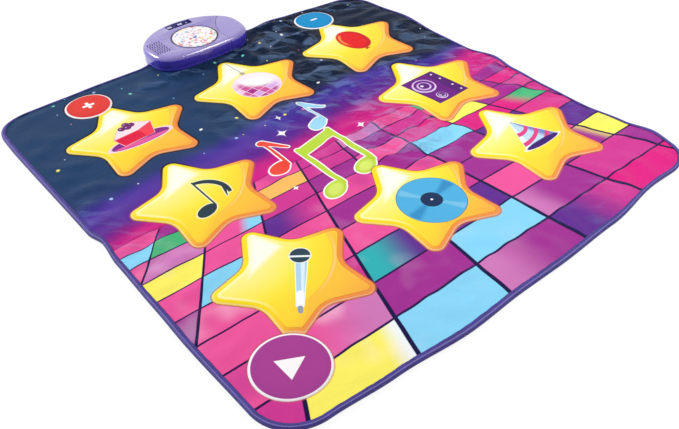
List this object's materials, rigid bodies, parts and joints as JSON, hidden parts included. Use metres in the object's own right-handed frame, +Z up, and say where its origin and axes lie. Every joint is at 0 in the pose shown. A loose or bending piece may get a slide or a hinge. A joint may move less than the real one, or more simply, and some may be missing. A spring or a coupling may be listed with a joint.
{
  "type": "electronic dance mat",
  "caption": "Padded play mat with star and round pressure pads under a printed sheet, and a plastic sound console clamped over its back edge.",
  "frame": {"origin": "on the floor, at the middle of the footprint of the mat with its console", "axes": "+Y from the player towards the console, +Z up, +X to the player's right"},
  "size_m": [0.9, 1.0178, 0.0394],
  "materials": {
    "backing_cloth": "woven, matt, black non-slip backing",
    "circuit_film": "clear polyester film with printed tracks",
    "foam": "open-cell foam",
    "printed_sheet": "satin printed nylon",
    "binding_tape": "ribbed binding tape, stitched",
    "star_print": "satin printed nylon, softly padded",
    "volume_up_print": "satin printed nylon, softly padded",
    "volume_down_print": "satin printed nylon, softly padded",
    "start_print": "satin printed nylon, softly padded",
    "contact_carbon": "screen-printed carbon on film",
    "console_plastic": "moulded, satin",
    "screw_steel": "zinc plated",
    "contact_steel": "nickel plated",
    "label_film": "printed film, glossy",
    "panel_plastic": "moulded, matt",
    "knob_plastic": "moulded, matt",
    "magnet_ferrite": "sintered ferrite",
    "cone_paper": "pressed paper",
    "board_laminate": "solder-masked laminate",
    "chip_resin": "potting resin",
    "capacitor_can": "sleeved can",
    "connector_plastic": "moulded",
    "battery_can": "printed sleeve"
  },
  "bodies": {
    "mat": {"back_sheet": "backing_cloth", "lower_circuit_film": "circuit_film", "spacer_foam": "foam", "upper_circuit_film": "circuit_film", "printed_top_sheet": "printed_sheet", "edge_binding": "binding_tape", "clamp_plate": "console_plastic", "clamp_screw_left": "screw_steel", "clamp_screw_right": "screw_steel", "console_bottom_case": "console_plastic", "console_top_case": "console_plastic", "case_screw_1": "screw_steel", "case_screw_2": "screw_steel", "case_screw_3": "screw_steel", "label_disc": "label_film", "switch_panel": "panel_plastic", "power_switch_body": "contact_steel", "mode_switch_body": "contact_steel", "speaker_frame": "contact_steel", "speaker_magnet": "magnet_ferrite", "circuit_board": "board_laminate", "sound_chip": "chip_resin", "capacitor": "capacitor_can", "ribbon_connector": "connector_plastic", "ribbon_tail": "circuit_film", "battery_1": "battery_can", "battery_2": "battery_can", "battery_3": "battery_can", "battery_spring_1": "contact_steel", "battery_spring_2": "contact_steel", "battery_spring_3": "contact_steel", "contact_strip_front": "contact_steel", "contact_strip_back": "contact_steel"},
    "cake_pad": {"star_pad_cake": "star_print", "contact_cake": "contact_carbon"},
    "mirror_ball_pad": {"star_pad_mirror_ball": "star_print", "contact_mirror_ball": "contact_carbon"},
    "balloon_pad": {"star_pad_balloon": "star_print", "contact_balloon": "contact_carbon"},
    "note_pad": {"star_pad_note": "star_print", "contact_note": "contact_carbon"},
    "loudspeaker_pad": {"star_pad_loudspeaker": "star_print", "contact_loudspeaker": "contact_carbon"},
    "microphone_pad": {"star_pad_microphone": "star_print", "contact_microphone": "contact_carbon"},
    "record_pad": {"star_pad_record": "star_print", "contact_record": "contact_carbon"},
    "party_hat_pad": {"star_pad_party_hat": "star_print", "contact_party_hat": "contact_carbon"},
    "volume_up": {"volume_up_pad": "volume_up_print", "contact_volume_up": "contact_carbon"},
    "volume_down": {"volume_down_pad": "volume_down_print", "contact_volume_down": "contact_carbon"},
    "start": {"start_pad": "start_print", "contact_start": "contact_carbon"},
    "power_slider": {"power_knob": "knob_plastic"},
    "mode_slider": {"mode_knob": "knob_plastic"},
    "battery_door": {"battery_cover": "console_plastic", "cover_screw": "screw_steel"},
    "cone": {"speaker_cone": "cone_paper"}
  },
  "joints": [
    {"name": "cake_press", "type": "slide", "parent": "mat", "child": "cake_pad", "axis": [0, 0, -1], "range_m": [0, 0.002], "stiffness_N_per_m": 2000, "springref_m": -0.001},
    {"name": "mirror_ball_press", "type": "slide", "parent": "mat", "child": "mirror_ball_pad", "axis": [0, 0, -1], "range_m": [0, 0.002], "stiffness_N_per_m": 2000, "springref_m": -0.001},
    {"name": "balloon_press", "type": "slide", "parent": "mat", "child": "balloon_pad", "axis": [0, 0, -1], "range_m": [0, 0.002], "stiffness_N_per_m": 2000, "springref_m": -0.001},
    {"name": "note_press", "type": "slide", "parent": "mat", "child": "note_pad", "axis": [0, 0, -1], "range_m": [0, 0.002], "stiffness_N_per_m": 2000, "springref_m": -0.001},
    {"name": "loudspeaker_press", "type": "slide", "parent": "mat", "child": "loudspeaker_pad", "axis": [0, 0, -1], "range_m": [0, 0.002], "stiffness_N_per_m": 2000, "springref_m": -0.001},
    {"name": "microphone_press", "type": "slide", "parent": "mat", "child": "microphone_pad", "axis": [0, 0, -1], "range_m": [0, 0.002], "stiffness_N_per_m": 2000, "springref_m": -0.001},
    {"name": "record_press", "type": "slide", "parent": "mat", "child": "record_pad", "axis": [0, 0, -1], "range_m": [0, 0.002], "stiffness_N_per_m": 2000, "springref_m": -0.001},
    {"name": "party_hat_press", "type": "slide", "parent": "mat", "child": "party_hat_pad", "axis": [0, 0, -1], "range_m": [0, 0.002], "stiffness_N_per_m": 2000, "springref_m": -0.001},
    {"name": "volume_up_press", "type": "slide", "parent": "mat", "child": "volume_up", "axis": [0, 0, -1], "range_m": [0, 0.002], "stiffness_N_per_m": 2000, "springref_m": -0.001},
    {"name": "volume_down_press", "type": "slide", "parent": "mat", "child": "volume_down", "axis": [0, 0, -1], "range_m": [0, 0.002], "stiffness_N_per_m": 2000, "springref_m": -0.001},
    {"name": "start_press", "type": "slide", "parent": "mat", "child": "start", "axis": [0, 0, -1], "range_m": [0, 0.002], "stiffness_N_per_m": 2000, "springref_m": -0.001},
    {"name": "power_slide", "type": "slide", "parent": "mat", "child": "power_slider", "axis": [1, 0, 0], "range_m": [0, 0.005]},
    {"name": "mode_slide", "type": "slide", "parent": "mat", "child": "mode_slider", "axis": [1, 0, 0], "range_m": [0, 0.008]},
    {"name": "battery_cover_slide", "type": "slide", "parent": "mat", "child": "battery_door", "axis": [1, 0, 0], "range_m": [0, 0.02]},
    {"name": "cone_travel", "type": "slide", "parent": "mat", "child": "cone", "axis": [0, 0, 1], "range_m": [-0.0004, 0.0004], "stiffness_N_per_m": 1000}
  ]
}
